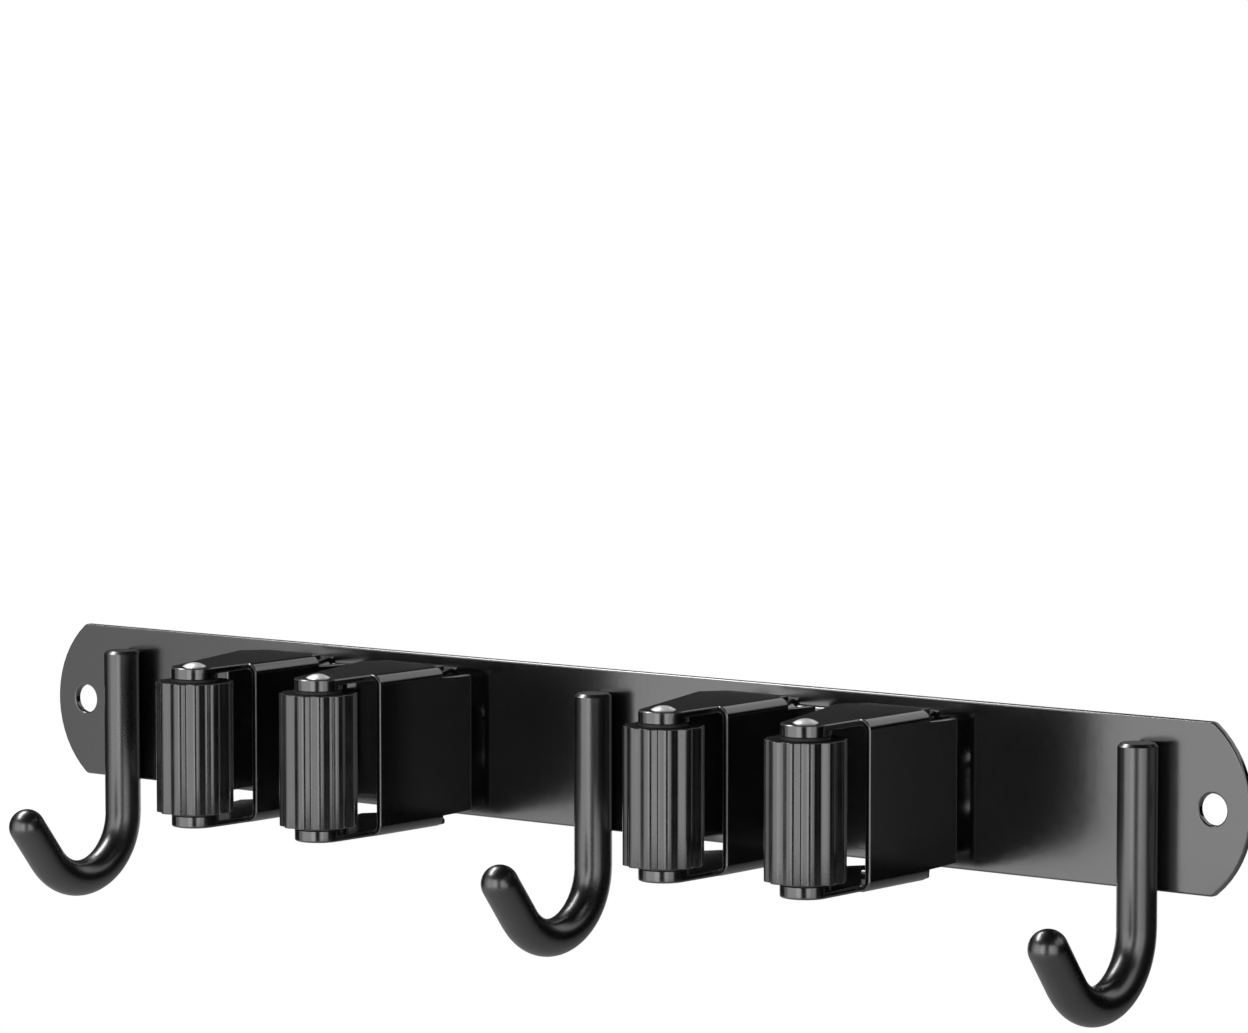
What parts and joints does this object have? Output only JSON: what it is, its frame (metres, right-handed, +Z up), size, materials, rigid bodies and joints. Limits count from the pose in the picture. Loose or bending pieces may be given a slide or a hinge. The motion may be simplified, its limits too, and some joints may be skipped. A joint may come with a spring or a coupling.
{
  "type": "wall mop holder rack",
  "caption": "Black steel wall strip with round rod hooks and sprung clips whose ribbed rubber rollers grip a mop or broom handle.",
  "frame": {"origin": "middle of the plate's back face, which lies on the wall", "axes": "+X along the plate to the user's right, +Y into the wall, +Z up"},
  "size_m": [0.354, 0.0596, 0.0653],
  "materials": {
    "black_paint": "glossy black powder coat",
    "polished_steel": "bright plated rivet",
    "spring_steel": "drawn spring wire",
    "ribbed_rubber": "satin black moulded rubber",
    "core_plastic": "moulded nylon"
  },
  "bodies": {
    "rack": {"wall_plate": "black_paint", "left_hook": "black_paint", "middle_hook": "black_paint", "right_hook": "black_paint", "left_clip_base": "black_paint", "right_clip_base": "black_paint", "left_clip_left_pin": "black_paint", "left_clip_right_pin": "black_paint", "right_clip_left_pin": "black_paint", "right_clip_right_pin": "black_paint", "left_clip_left_spring": "spring_steel", "left_clip_right_spring": "spring_steel", "right_clip_left_spring": "spring_steel", "right_clip_right_spring": "spring_steel"},
    "left_clip_left_swing": {"left_clip_left_arm": "black_paint", "left_clip_left_axle": "polished_steel", "left_clip_left_collars": "black_paint"},
    "left_clip_left_roller": {"left_clip_left_core": "core_plastic", "left_clip_left_sleeve": "ribbed_rubber"},
    "left_clip_right_swing": {"left_clip_right_arm": "black_paint", "left_clip_right_axle": "polished_steel", "left_clip_right_collars": "black_paint"},
    "left_clip_right_roller": {"left_clip_right_core": "core_plastic", "left_clip_right_sleeve": "ribbed_rubber"},
    "right_clip_left_swing": {"right_clip_left_arm": "black_paint", "right_clip_left_axle": "polished_steel", "right_clip_left_collars": "black_paint"},
    "right_clip_left_roller": {"right_clip_left_core": "core_plastic", "right_clip_left_sleeve": "ribbed_rubber"},
    "right_clip_right_swing": {"right_clip_right_arm": "black_paint", "right_clip_right_axle": "polished_steel", "right_clip_right_collars": "black_paint"},
    "right_clip_right_roller": {"right_clip_right_core": "core_plastic", "right_clip_right_sleeve": "ribbed_rubber"}
  },
  "joints": [
    {"name": "left_clip_left_swing", "type": "hinge", "parent": "rack", "child": "left_clip_left_swing", "pos_m": [-0.0829, -0.0155, -0.0009], "axis": [0, 0, -1], "range_deg": [0, 18], "stiffness_Nm_per_rad": 0.44, "springref_deg": -60.16, "deforming": ["left_clip_left_spring"]},
    {"name": "left_clip_right_swing", "type": "hinge", "parent": "rack", "child": "left_clip_right_swing", "pos_m": [-0.0439, -0.0155, -0.0009], "axis": [0, 0, 1], "range_deg": [0, 18], "stiffness_Nm_per_rad": 0.44, "springref_deg": -60.16, "deforming": ["left_clip_right_spring"]},
    {"name": "right_clip_left_swing", "type": "hinge", "parent": "rack", "child": "right_clip_left_swing", "pos_m": [0.0577, -0.0155, -0.0009], "axis": [0, 0, -1], "range_deg": [0, 18], "stiffness_Nm_per_rad": 0.44, "springref_deg": -60.16, "deforming": ["right_clip_left_spring"]},
    {"name": "right_clip_right_swing", "type": "hinge", "parent": "rack", "child": "right_clip_right_swing", "pos_m": [0.0967, -0.0155, -0.0009], "axis": [0, 0, 1], "range_deg": [0, 18], "stiffness_Nm_per_rad": 0.44, "springref_deg": -60.16, "deforming": ["right_clip_right_spring"]},
    {"name": "left_clip_left_spin", "type": "hinge", "parent": "left_clip_left_swing", "child": "left_clip_left_roller", "pos_m": [-0.0848, -0.0505, -0.0009], "axis": [0, 0, 1], "continuous": true},
    {"name": "left_clip_right_spin", "type": "hinge", "parent": "left_clip_right_swing", "child": "left_clip_right_roller", "pos_m": [-0.0458, -0.0505, -0.0009], "axis": [0, 0, 1], "continuous": true},
    {"name": "right_clip_left_spin", "type": "hinge", "parent": "right_clip_left_swing", "child": "right_clip_left_roller", "pos_m": [0.0558, -0.0505, -0.0009], "axis": [0, 0, 1], "continuous": true},
    {"name": "right_clip_right_spin", "type": "hinge", "parent": "right_clip_right_swing", "child": "right_clip_right_roller", "pos_m": [0.0948, -0.0505, -0.0009], "axis": [0, 0, 1], "continuous": true}
  ]
}
